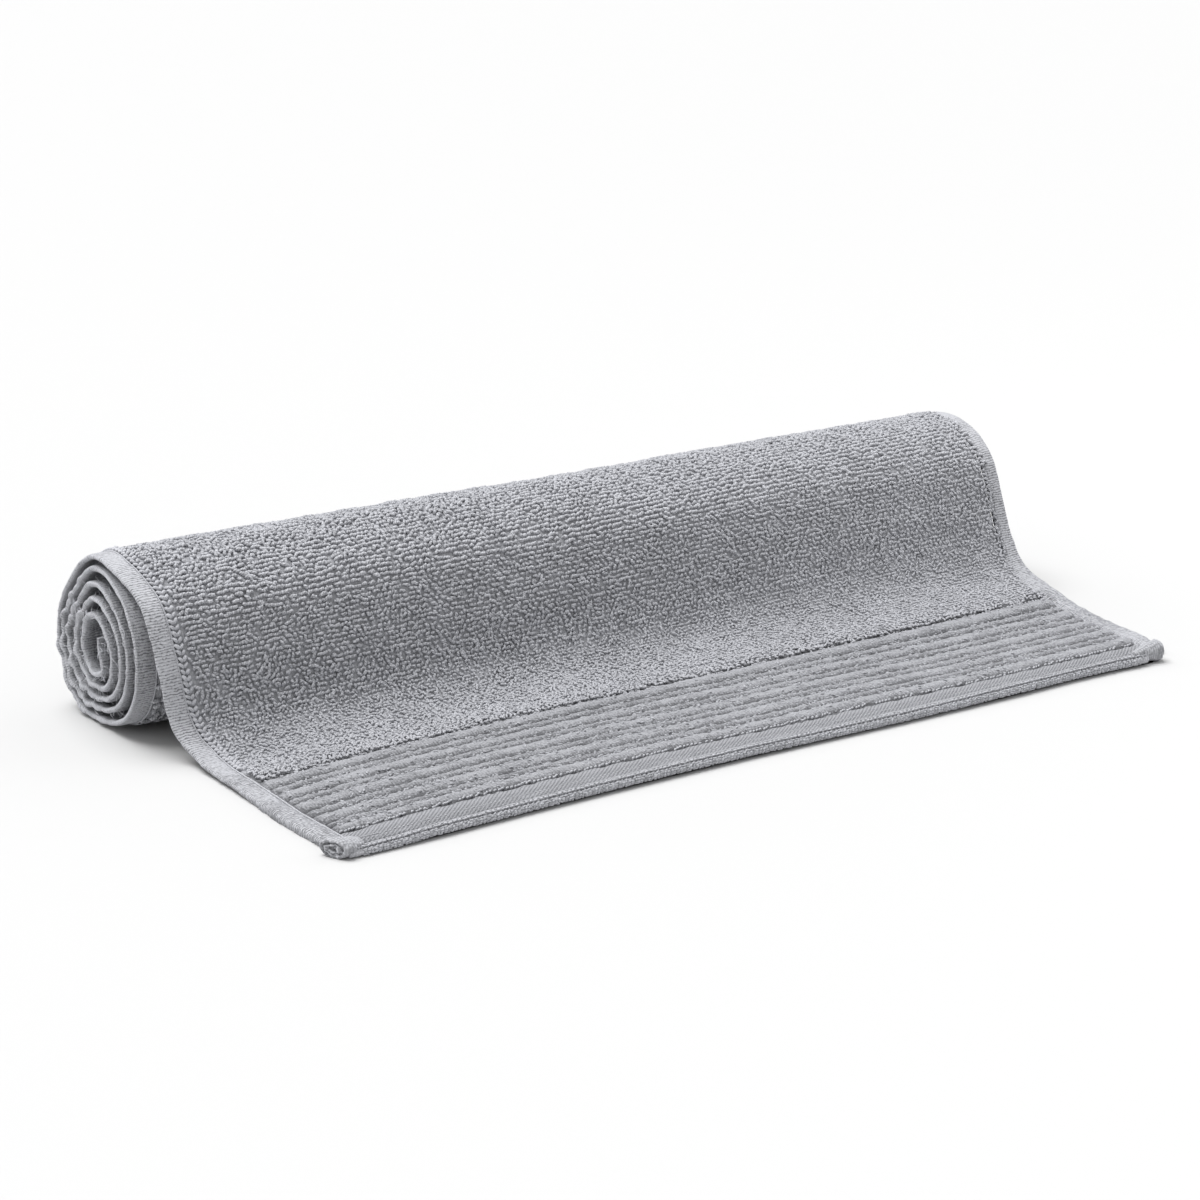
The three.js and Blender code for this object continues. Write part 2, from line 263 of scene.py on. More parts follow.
def grains(centre, along, normal, length, radius, arch, bend, tall, sides=4, rings=3, sink=0.35):
    """Joined mesh arrays of small yarn loops: arched spindles lying along 'along' on the cloth (metres).

    The fourth array is each point's place on its own yarn: along it, around it, and a number of the yarn's own.
    """
    n = len(centre)
    beside = np.cross(normal, along)
    us = {3: (-0.62, 0.0, 0.62), 2: (-0.5, 0.5), 4: (-0.75, -0.27, 0.27, 0.75)}[rings]
    own = (np.arange(n) * 0.61803) % 1.0

    def point(u):
        up = arch * (1 - u * u) - sink * arch * abs(u) ** 3
        return (centre + along * (length * 0.5 * u)[:, None] + normal * up[:, None]
                + beside * (bend * (u * u - 0.4))[:, None])
    pts, yarn = [], []
    for u in us:
        r = radius * math.sqrt(max(0.05, 1 - 0.62 * u * u))
        c = point(np.full(n, u))
        for k in range(sides):
            f = (k + 0.5) / sides
            a = 2 * math.pi * (f - 0.25)
            pts.append(c + normal * (r * tall * math.sin(a))[:, None] + beside * (r * math.cos(a))[:, None])
            yarn.append(np.stack([length * 0.5 * u, np.full(n, f), own], -1))
    for u in (-1.0, 1.0):
        pts.append(point(np.full(n, u)))
        yarn.append(np.stack([length * 0.5 * u, np.full(n, 0.5), own], -1))
    v = np.stack(pts, 1)                                   # (n, per, 3)
    y = np.stack(yarn, 1)
    per = v.shape[1]
    base = (np.arange(n) * per)[:, None]
    quads, tris = [], []
    for r in range(rings - 1):
        for k in range(sides):
            a, b = r * sides + k, r * sides + (k + 1) % sides
            quads.append(np.array([a, b, b + sides, a + sides]))
    t0, t1 = per - 2, per - 1
    last = (rings - 1) * sides
    for k in range(sides):
        tris.append(np.array([k, t0, (k + 1) % sides]))
        tris.append(np.array([last + k, last + (k + 1) % sides, t1]))
    q = (base[:, :, None] + np.array(quads)[None]).reshape(-1, 4)
    t = (base[:, :, None] + np.array(tris)[None]).reshape(-1, 3)
    return v.reshape(-1, 3), q, t, y.reshape(-1, 3)


def join(parts):
    """Joins (verts, quads, tris, yarn places) groups."""
    vs, qs, ts, ys, at = [], [], [], [], 0
    for v, q, t, y in parts:
        vs.append(v); qs.append(q + at); ts.append(t + at); ys.append(y)
        at += len(v)
    return np.concatenate(vs), np.concatenate(qs), np.concatenate(ts), np.concatenate(ys)


# ---- materials --------------------------------------------------------------
def material(name):
    m = bpy.data.materials.new(name)
    m.use_nodes = True
    nt = m.node_tree
    nt.nodes.clear()
    out = nt.nodes.new("ShaderNodeOutputMaterial")
    b = nt.nodes.new("ShaderNodeBsdfPrincipled")
    nt.links.new(b.outputs[0], out.inputs[0])
    return m, nt, b


def noise(nt, coords, scale, detail=2.0, rough=0.5):
    n = nt.nodes.new("ShaderNodeTexNoise")
    n.inputs["Scale"].default_value = scale
    n.inputs["Detail"].default_value = detail
    n.inputs["Roughness"].default_value = rough
    nt.links.new(coords, n.inputs["Vector"])
    return n.outputs["Fac"]


def ramp(nt, fac, stops):
    r = nt.nodes.new("ShaderNodeValToRGB")
    e = r.color_ramp.elements
    while len(e) < len(stops):
        e.new(0.5)
    for el, (pos, col) in zip(e, stops):
        el.position = pos
        el.color = (*col, 1)
    nt.links.new(fac, r.inputs[0])
    return r.outputs[0]


def math_node(nt, op, a, b=None, c=None):
    n = nt.nodes.new("ShaderNodeMath")
    n.operation = op
    for k, v in enumerate((a, b, c)):
        if v is None:
            continue
        if isinstance(v, (int, float)):
            n.inputs[k].default_value = v
        else:
            nt.links.new(v, n.inputs[k])
    return n.outputs[0]


def bump(nt, height, strength, distance, normal=None):
    b = nt.nodes.new("ShaderNodeBump")
    b.inputs["Strength"].default_value = strength
    b.inputs["Distance"].default_value = distance
    nt.links.new(height, b.inputs["Height"])
    if normal is not None:
        nt.links.new(normal, b.inputs["Normal"])
    return b.outputs[0]


def finish_cloth(b, sheen=0.35):
    b.inputs["Roughness"].default_value = 0.92
    b.inputs["Specular IOR Level"].default_value = 0.25
    b.inputs["Sheen Weight"].default_value = sheen
    b.inputs["Sheen Roughness"].default_value = 0.55
    b.inputs["Sheen Tint"].default_value = (0.9, 0.92, 1.0, 1)


GREY = (0.455, 0.460, 0.486)


def tone(k):
    return tuple(c * k for c in GREY)


def terry_material(name, light=1.0, spread=0.2, ply=0.0013, twist=0.5, depth=0.00028, speck=950.0, own=0.16):
    """Soft yarn: twisted plies along each loop, fuzzy specks and a broad unevenness."""
    m, nt, b = material(name)
    co = nt.nodes.new("ShaderNodeTexCoord").outputs["Object"]
    vec, u, v = flat_coords(nt)
    sep = nt.nodes.new("ShaderNodeSeparateXYZ")
    nt.links.new(vec, sep.inputs[0])
    phase = math_node(nt, "ADD", math_node(nt, "MULTIPLY", u, math.pi / ply),
                      math_node(nt, "MULTIPLY", math_node(nt, "ADD", v, sep.outputs[2]), 2 * math.pi))
    plies = math_node(nt, "ABSOLUTE", math_node(nt, "SINE", phase))
    specks = noise(nt, co, speck, 2.0, 0.6)
    broad = noise(nt, co, 60.0, 2.0, 0.5)
    high = math_node(nt, "ADD", math_node(nt, "MULTIPLY", plies, twist * 0.5), math_node(nt, "MULTIPLY", specks, 1.2))
    mixed = math_node(nt, "ADD", math_node(nt, "MULTIPLY", high, 0.75), math_node(nt, "MULTIPLY", broad, 0.35))
    mixed = math_node(nt, "ADD", mixed, math_node(nt, "MULTIPLY", sep.outputs[2], 2 * own))
    mid = 0.75 * (0.6 + 0.32 * twist) + 0.175 + own
    col = ramp(nt, mixed, [(mid - 0.2, tone(light * (1 - spread))), (mid + 0.2, tone(light * (1 + spread)))])
    nt.links.new(col, b.inputs["Base Color"])
    nt.links.new(bump(nt, high, 1.0, depth), b.inputs["Normal"])
    finish_cloth(b)
    return m


def flat_coords(nt):
    a = nt.nodes.new("ShaderNodeAttribute")
    a.attribute_type = "GEOMETRY"
    a.attribute_name = "flat"
    sep = nt.nodes.new("ShaderNodeSeparateXYZ")
    nt.links.new(a.outputs["Vector"], sep.inputs[0])
    return a.outputs["Vector"], sep.outputs[0], sep.outputs[1]


def woven_material(name, pitch_x, pitch_s, slant=0.0, light=1.0, depth=0.0003, spread=0.14, speck=800.0, lines=0.5,
                   wobble=0.9, painted_shade=0.0, mix=1.0):
    """Woven cloth: fine lines across and along (metres apart; slant makes them a twill) under fuzzy specks.

    painted_shade: how much the weave is painted darker down between ribs and turns (painted shade) and lighter on rims
    (painted highlight), read from the third number of "flat" (0 down there, 1 on top, 0.8 as it is).
    """
    m, nt, b = material(name)
    co = nt.nodes.new("ShaderNodeTexCoord").outputs["Object"]
    vec, u, v = flat_coords(nt)
    drift = math_node(nt, "MULTIPLY", noise(nt, vec, 210.0, 2.0, 0.6), wobble * math.pi)
    parts = []
    if pitch_x:
        a = math_node(nt, "MULTIPLY", u, math.pi / pitch_x)
        if slant:
            a = math_node(nt, "ADD", a, math_node(nt, "MULTIPLY", v, math.pi * slant / pitch_x))
        parts.append(math_node(nt, "ABSOLUTE", math_node(nt, "SINE", math_node(nt, "ADD", a, drift))))
    if pitch_s:
        a = math_node(nt, "MULTIPLY", v, math.pi / pitch_s)
        parts.append(math_node(nt, "ABSOLUTE", math_node(nt, "SINE", math_node(nt, "ADD", a, drift))))
    weave = parts[0] if len(parts) == 1 else math_node(nt, "MULTIPLY", parts[0], parts[1])
    specks = noise(nt, co, speck, 2.0, 0.65)
    high = math_node(nt, "ADD", math_node(nt, "MULTIPLY", weave, lines), math_node(nt, "MULTIPLY", specks, 1.1))
    broad = noise(nt, co, 50.0, 3.0, 0.6)
    mixed = math_node(nt, "ADD", math_node(nt, "MULTIPLY", high, 0.75), math_node(nt, "MULTIPLY", broad, 0.35))
    mid = mix * (0.75 * (0.55 + 0.62 * lines * (1.0 if len(parts) == 1 else 0.62)) + 0.175)
    mixed = math_node(nt, "MULTIPLY", mixed, mix)
    # painted shade and highlight: the weave is painted darker where flat's third number is under 0.8 and lighter where
    # it is over 0.8
    if painted_shade:
        sep = nt.nodes.new("ShaderNodeSeparateXYZ")
        nt.links.new(vec, sep.inputs[0])
        mixed = math_node(nt, "ADD", mixed, math_node(nt, "MULTIPLY", sep.outputs[2], painted_shade))
        mid += 0.8 * painted_shade
    col = ramp(nt, mixed, [(mid - 0.2, tone(light * (1 - spread))), (mid + 0.2, tone(light * (1 + spread)))])
    nt.links.new(col, b.inputs["Base Color"])
    nt.links.new(bump(nt, high, 1.0, depth), b.inputs["Normal"])
    finish_cloth(b, 0.25)
    return m


LOOPS = terry_material("terry_loops", 0.835, 0.24, twist=1.0, depth=0.00040, speck=800.0, own=0.10)
SOFT_LOOPS = terry_material("terry_loops_soft", 0.845, 0.22, twist=1.0, depth=0.00036, speck=800.0, own=0.08)
RIB_LOOPS = terry_material("terry_rib_loops", 0.80, 0.20, depth=0.0002, own=0.12)
THREAD = terry_material("sewing_thread", 0.98, 0.14, ply=0.0011, depth=0.0002, own=0.05)
SEAM = terry_material("seam_cord", 0.88, 0.12, ply=0.0012, depth=0.0002, own=0.0)
# painted light: the rolled hem's grains and weave get a lighter tone than the header's weave of the same cloth, making
# up for the roll's front facing away from the lamps
BEAD_GRAIN = terry_material("rolled_hem_grain", 1.0, 0.2)
FIBRE = terry_material("loose_fibres", 1.3, 0.05, depth=0.0001, own=0.0)
# terry_ground: a darker grey than the loops, partly the ground weave's own tone and partly painted shade down between
# the loops
GROUND = woven_material("terry_ground", 0.0016, 0.0022, light=0.66)
BAND = woven_material("side_hem_weave", 0.0, 0.0013, light=0.66, depth=0.00046, spread=0.5, lines=0.4, speck=780.0, wobble=1.5,
                      painted_shade=0.3, mix=0.95)
HEADER = woven_material("header_twill", 0.0023, 0.0, slant=-1.3, light=0.49, depth=0.00035, spread=0.2, speck=500.0, lines=1.1, wobble=0.7)
RIB = woven_material("rib_weave", 0.0015, 0.0, light=0.46, depth=0.0006, spread=0.5, lines=0.12, speck=850.0, painted_shade=0.34)
# painted light: the rolled hem's weave is lighter than the header's, as for its grains above
BEAD = woven_material("rolled_hem_weave", 0.0014, 0.0016, light=0.90, depth=0.0004, spread=0.5, painted_shade=0.45, mix=0.5)


# ---- heights of the cloth over its mid-line --------------------------------
def left_pull(x, s):
    """How far the ribs, and the first of the pile, are drawn towards the hem at their left-hand ends."""
    return (np.interp(x, (-235, -215, -195, -165, -110, -70), (5.0, 4.6, 3.4, 1.6, 0.7, 0.0))
            * np.clip((s - 21.5) / 11.0, 0, 1) * (1 - smooth(108, 150, s)))


def rib_wander(x, s):
    return (0.42 * lattice_noise(x / 23.0, s / 16.7 + 3.1, 5) + 0.22 * lattice_noise(x / 6.0, s / 8.0, 6)
            - 0.5 * smooth(-120, -40, x) + left_pull(x, s))


RIB_FLOOR = -1.15


def rib_height(s, x, d):
    """Over-side height of the border's ribs; x across in mm, d distance in from the nearer edge."""
    q = s + rib_wander(x, s) - RIBS_FROM
    t = np.mod(q, RIB_PITCH)
    lumps = 0.20 * lattice_noise(x / 2.9, s / 5.0, 8) + 0.14 * lattice_noise(x / 8.0, s / 7.0, 18) \
        + 0.18 * lattice_noise(x / 1.5, s / 1.4, 19)
    broad = (t - 5.1) / (5.05 + 0.16 * lattice_noise(x / 3.3, s / 30.0, 28))
    narrow = (t - 13.4) / (3.08 + 0.15 * lattice_noise(x / 3.6, s / 30.0, 29))
    h = np.full(np.shape(t), RIB_FLOOR)
    for u, high in ((broad, 3.1), (narrow, 2.75)):
        dome = np.sqrt(np.clip(1 - np.abs(u - 0.16 * (1 - u * u)) ** 2.5, 0, 1))
        dome = np.where(np.abs(u) < 1, dome, 0)
        h = np.where(dome > 0, np.maximum(h, RIB_FLOOR + dome * (high + lumps)), h)
    # loops bridge the groove between a broad rib and its narrow one here and there
    bridge = 1.3 * lattice_noise(x / 2.3, s / 16.0, 38) - 0.75
    h = np.where(np.abs(t - 10.25) < 0.8, np.maximum(h, np.minimum(bridge, 0.9)), h)
    # the pile begins after the last broad rib's groove
    past = q - (RIB_PAIRS * RIB_PITCH - 6.2)
    h = np.where(past > 0, -0.6 + 1.2 * smooth(0.4, 1.8, past), h)
    d = d + 1.3 * lattice_noise(s / 5.0, x * 0 + 2.0, 7)
    ends = np.sqrt(np.clip((d - 10.3) / 3.0, 0, 1))
    edge = 0.35 - 0.7 * smooth(9.6, 11.0, d)
    return edge + (h - edge) * ends


def header_height(s, x):
    h = 1.0 + 0.10 * lattice_noise(x / 13.0, s / 8.0, 11)
    h = h + np.interp(x, (-240, -120), (0.9, 1.5)) * (1 - smooth(5.0, 17.0, s))
    h = h - 0.75 * np.exp(-((s - 8.3 - 0.15 * lattice_noise(x / 9.0, s * 0, 13)) / 0.5) ** 2)
    h = h - 1.3 * (1 - smooth(5.3, 6.3, s))
    return h - 1.6 * smooth(19.8, 21.2, s + 0.5 * lattice_noise(x / 2.6, s * 0 + 4, 14))


def over_body(s, x, d):
    base = np.where((s < 508) | ((s < 566) & (x < -185)), 0.9, 2.1)
    h = base + 0.15 * lattice_noise(x / 3.0, s / 3.0, 9) + clump(x, s)
    h = h + 0.3 * smooth(236, 256, s) * (1 - smooth(296, 302, s))
    # the ribbed border and header are a finer surface over the cloth here
    return np.where(s < BORDER_END - 0.5, -1.5, h)


def clump(x, s):
    """Soft lumps of the pile, its loops pressed down or standing together."""
    return 0.30 * lattice_noise(x / 6.5, s / 6.0, 201) + 0.25 * lattice_noise(x / 17.0, s / 15.0, 202)


def over_border(s, x, d):
    h = np.where(s < RIBS_FROM, header_height(s, x), rib_height(s, x, d))
    return np.where(s > BORDER_END - 0.4, 0.6, h)


def side_profile():
    """Ring of the side hem's section: distance in from the edge, height over the mid-line."""
    return np.array([
        (11.8, 0.0), (10.9, 0.3), (10.2, 0.35), (9.75, 0.45), (9.5, 0.75), (9.1, 0.95), (8.6, 1.0), (7.6, 1.05),
        (6.0, 1.15), (4.2, 1.25), (2.6, 1.3), (1.4, 1.2), (0.6, 0.95), (0.15, 0.5), (0.0, 0.0), (0.15, -0.5),
        (0.6, -0.95), (1.4, -1.2), (3.0, -1.25), (6.0, -1.15), (9.0, -1.05), (11.8, -1.2)])


# ---- the cloth body ----------------------------------------------------------
def build_body():
    ss = np.r_[np.arange(3.0, BORDER_END - 3, 4.0), BORDER_END - 0.6, BORDER_END - 0.4,
               np.arange(BORDER_END + 2.0, 275, 3.0), np.arange(275, CLOTH_LENGTH, 6.0), CLOTH_LENGTH]
    inner = np.r_[0.0, 1.6, 3.6, 6.0]
    n_mid = 64
    cols_l = 10.3 + inner
    shares = np.linspace(0, 1, n_mid)[1:-1]
    over, under, flat = [], [], []
    for col in list(("l", v) for v in cols_l) + list(("m", v) for v in shares) + list(("r", v) for v in cols_l[::-1]):
        kind, v = col
        left, right = edges_at(ss)
        if kind == "l":
            x_in, side, x = np.full_like(ss, v), 0, left + v
        elif kind == "r":
            x_in, side, x = np.full_like(ss, v), 1, right - v
        else:
            a = (left + cols_l[-1]) + v * ((right - cols_l[-1]) - (left + cols_l[-1]))
            x_in, side, x = a - left, 0, a
        d = np.minimum(x - left, right - x)
        top = over_body(ss, x, d)
        if v == cols_l[0] and kind != "m":
            top = np.minimum(top, 0.2)
        taper = 1 - 0.6 * smooth(CLOTH_LENGTH - 9, CLOTH_LENGTH, ss)
        over.append(place(ss, x_in, side, top * taper)[0])
        under.append(place(ss, x_in, side, -2.2 * taper)[0])
        flat.append(np.stack([x, ss, np.zeros_like(ss)], -1) / 1000)
    over, under, flat = (np.array(a) for a in (over, under, flat))
    C, S = over.shape[:2]
    v = np.concatenate([over.reshape(-1, 3), under.reshape(-1, 3)])
    f = np.concatenate([flat.reshape(-1, 3)] * 2)
    top = grid_quads(C, S, 0, True)
    bottom = grid_quads(C, S, C * S, False)
    o, u = np.arange(C * S).reshape(C, S), np.arange(C * S).reshape(C, S) + C * S

    def wall(a, b, flip):
        q = np.stack([a[:-1], a[1:], b[1:], b[:-1]], -1)
        return q[:, ::-1] if flip else q
    walls = [wall(o[0], u[0], False), wall(o[-1], u[-1], True), wall(o[:, 0], u[:, 0], True), wall(o[:, -1], u[:, -1], False)]
    return mesh_object("towel_cloth", v, [np.concatenate([top, bottom] + walls)], GROUND, f)


def build_border():
    """The header and the ribs: a fine surface whose rim goes down into the cloth."""
    pair = np.r_[0.0, 0.3, 0.7, 1.3, 2.2, 3.4, 4.8, 6.2, 7.4, 8.4, 9.1, 9.6, 9.95, 10.25, 10.55, 10.95, 11.6, 12.6, 13.8,
                 14.9, 15.7, 16.2, 16.45]
    ss = np.r_[5.2, 5.3, np.arange(6.0, 21.2, 1.0), (RIBS_FROM + RIB_PITCH * np.arange(RIB_PAIRS)[:, None] + pair).ravel(),
               BORDER_END + 0.9, BORDER_END + 1.4, BORDER_END + 1.5]
    n = 560
    a = np.linspace(0, 1, n)
    s2, a2 = np.meshgrid(ss, a)
    left, right = edges_at(s2)
    x_in = 9.4 + a2 * (right - left - 18.8)
    x = left + x_in
    # the rows follow the ribs
    fade = smooth(RIBS_FROM, RIBS_FROM + 4, s2) * (1 - smooth(BORDER_END - 9, BORDER_END, s2))
    once = s2 - fade * rib_wander(x, s2)
    s2 = s2 - fade * rib_wander(x, once)
    d = np.minimum(x_in, right - x)
    h = over_border(s2, x, d)
    h[:, 0], h[:, -1] = -1.4, -1.4
    h[0], h[-1] = -1.4, -1.6
    v = place(s2, x_in, 0, h)[0].reshape(-1, 3)
    # painted shade: this third number of "flat" is low down in the grooves between ribs and paints the rib weave darker
    # there
    hollow = np.clip((h - 0.1) / 2.0, 0, 1.05)
    f = np.stack([x / 1000, s2 / 1000, hollow], -1).reshape(-1, 3)
    srow = np.tile(0.5 * (ss[1:] + ss[:-1]), n - 1)
    return mesh_object("end_border", v, [grid_quads(n, len(ss), 0, True)], [HEADER, RIB], f, (srow > RIBS_FROM - 0.8).astype(int))


def build_side(side, name):
    ring = side_profile()
    ss = np.r_[np.arange(7.0, 110, 1.4), np.arange(110, 300, 1.6), np.arange(300, CLOTH_LENGTH - 1, 1.25), CLOTH_LENGTH]
    R, S = len(ring), len(ss)
    d = np.tile(ring[:, :1], (1, S))
    h = np.tile(ring[:, 1:], (1, S))
    s2 = np.tile(ss, (R, 1))
    if side == 1:
        d = d * (1 - 0.26 * smooth(112, 150, s2))
        d = d + (9.4 - d) * 0.75 * (1 - smooth(7, 12, s2))
    left, right = edges_at(s2)
    x = left + d if side == 0 else right - d
    fold = lattice_noise(s2 / 9.0 + 20 * side, d / 7.0, 21)
    h = h * (1 + 0.06 * smooth(240, 310, s2) * smooth(9.5, 7.0, d)) + 0.12 * fold + 0.10 * lattice_noise(s2 / 3.0, d / 3.0, 22)
    # slanting pull creases where the hem lies on the surface
    h = h + 0.42 * (1 - smooth(95, 130, s2)) * smooth(9.4, 7.5, d) * (h > 0) * lattice_noise((s2 + 1.3 * d) / 4.5, d * 0 + side, 24)
    # the wound hem's inner face is gathered into small pleats, most at the back
    y, z = read_fields(np.full_like(s2, float(side)), s2)[:2]
    back = np.clip(0.5 - 0.62 * np.cos(np.arctan2(z - AXIS_Z, -(y - AXIS_Y)) - 0.25), 0.05, 1) * smooth(262, 300, s2)
    fold, _, own = pillow(s2 + 0.5 * d * lattice_noise(s2 / 9.0, d * 0, 25), side)
    pleat = back * fold * (0.35 + own) * smooth(0.0, 0.5, d) * (1 - smooth(2, 7, d))
    h = np.where(h < 0, h * (1 + 0.9 * pleat), h)
    resting = 1 - np.clip((s2 - REST_LENGTH) / REST_BLEND, 0, 1)
    h = np.where(h < 0, h * (1 + 1.0 * resting), h)
    taper = 1 - 0.5 * smooth(CLOTH_LENGTH - 9, CLOTH_LENGTH, s2)
    # fine scallops of the outer edge
    d_edge = d + 0.3 * lattice_noise(s2 / 2.2, d * 0 + side, 23) * (d < 0.3) * (s2 > 20)
    v = place(s2, d_edge, side, h * taper)[0].reshape(-1, 3)
    # tone of the weave: 0.8 as it is, less where it lies flat on top; painted shade deep down between the turns and a
    # painted highlight on the wound turns' rims
    open_side = 0.80 - 0.33 * (1 - smooth(95, 135, s2))
    deep = smooth(0.9, 6.0, d) * np.where(h > 0, smooth(476, 500, s2), smooth(100, 130, s2))
    shade = open_side + 0.24 * (s2 > 285) * (1 - smooth(0.8, 1.6, d)) - 0.5 * deep
    f = np.stack([x / 1000, s2 / 1000, shade], -1).reshape(-1, 3)
    q = grid_quads(R, S, 0, side == 0)
    o = np.arange(R * S).reshape(R, S)
    close = np.stack([o[-1, :-1], o[-1, 1:], o[0, 1:], o[0, :-1]], -1)
    if side == 1:
        close = close[:, ::-1]
    # end caps as fans
    c0, c1 = len(v), len(v) + 1
    v = np.concatenate([v, v.reshape(R, S, 3)[:, 0].mean(0)[None], v.reshape(R, S, 3)[:, -1].mean(0)[None]])
    f = np.concatenate([f, f[:1], f[-1:]])
    a, b = o[:, 0], np.roll(o[:, 0], -1)
    cap0 = np.stack([a, b, np.full(R, c0)], -1)
    a, b = o[:, -1], np.roll(o[:, -1], -1)
    cap1 = np.stack([b, a, np.full(R, c1)], -1)
    if side == 0:
        cap0, cap1 = cap0[:, ::-1], cap1[:, ::-1]
    return mesh_object(name, v, [np.concatenate([q, close]), np.concatenate([cap0, cap1])], BAND, f)


# ---- the rolled end hem -------------------------------------------------------
ROLL_AT, ROLL_DEPTH = 3.0, 1.1                  # place along the cloth; how much deeper than high it is


def roll_half(x):
    """Half the roll's height."""
    return np.interp(x, (-240, -150, 0, 240), (2.15, 2.4, 2.5, 2.65))


def roll_centre(share):
    c = place(ROLL_AT, share, 2, 0.0)[0] * 1000
    lift = 0.25 + 0.6 * smooth(-225, -190, c[..., 0]) + 0.3 * lattice_noise(c[..., 0] / 40.0, c[..., 0] * 0, 61)
    c[..., 2] = roll_half(c[..., 0]) + lift
    return c


def build_roll():
    """The end hem's round roll, from corner to corner."""
    n = 560
    share = np.linspace(0.008, 0.965, n)
    c = roll_centre(share)[:, None]
    deg = np.r_[-80.0, -55, -35, -18, -2, 12, 22, 30, 36, 42, 48, 54, 60, 66, 72, 78, 84, 92, 105, 130, 160, 200, 240]
    k = len(deg)
    th = np.radians(deg)[None]
    x = c[..., 0] + th * 0
    pits = 0.62 + 0.38 * np.sin(2 * math.pi * x / 2.45 + 1.2 * lattice_noise(x / 9.0, th * 0, 65))
    groove = (np.exp(-((deg[None] - 76.0) / 10.5) ** 2) + 0.85 * np.exp(-((deg[None] - 41.0) / 10.5) ** 2)) * pits
    r = 1 - 0.30 * groove + 0.05 * lattice_noise(x / 2.4, th * 3.0, 62) + 0.03 * lattice_noise(x / 14.0, th, 63)
    half = roll_half(x)
    v = np.stack([x, c[..., 1] - ROLL_DEPTH * half * r * np.cos(th), c[..., 2] + half * r * np.sin(th)], -1) / 1000
    # painted shade: flat's third number drops in the roll's grooves, painting the weave darker there
    f = np.stack([x / 1000, th * half / 1000, 0.8 - 0.9 * groove], -1)
    o = np.arange(n * k).reshape(n, k)
    nx = np.roll(o, -1, 1)
    q = np.stack([o[:-1], o[1:], nx[1:], nx[:-1]], -1).reshape(-1, 4)
    v, f = v.reshape(-1, 3), f.reshape(-1, 3)
    c0, c1 = len(v), len(v) + 1
    v = np.concatenate([v, v[:k].mean(0)[None], v[-k:].mean(0)[None]])
    f = np.concatenate([f, f[:1], f[-1:]])
    caps = np.concatenate([np.stack([o[0], nx[0], np.full(k, c0)], -1), np.stack([nx[-1], o[-1], np.full(k, c1)], -1)])
    return mesh_object("end_hem_roll", v, [q, caps], BEAD, f)


def roll_grains(theta, pitch, length, radius, seed, out=0.0, swing=0.1, drop=0.0, jitter=4.0, sides=4):
    """A line of small stitches or grains along the roll, theta degrees up from its front."""
    rng = np.random.default_rng(seed)
    n = int(455 / pitch)
    share = np.sort(0.022 + 0.935 * (np.arange(n) + rng.uniform(-0.2, 0.2, n)) / n)
    share = share[rng.random(n) >= drop]
    n = len(share)
    th = np.radians(theta + rng.normal(0, jitter, n))
    c = roll_centre(share)
    nor = np.stack([np.zeros(n), -np.cos(th), np.sin(th)], -1)
    half = roll_half(c[:, 0])
    p = c + nor * (np.stack([np.zeros(n), ROLL_DEPTH * half, half], -1) + out)
    up = np.stack([np.zeros(n), np.sin(th), np.cos(th)], -1)
    ang = rng.normal(swing, 0.2, n)
    along = np.array([1.0, 0, 0])[None] * np.cos(ang)[:, None] + up * np.sin(ang)[:, None]
    return grains(p / 1000, along, nor, length * rng.uniform(0.85, 1.15, n) / 1000,
                  radius * rng.uniform(0.85, 1.15, n) / 1000, np.full(n, 0.0002), np.zeros(n), 0.9, sides, 2)


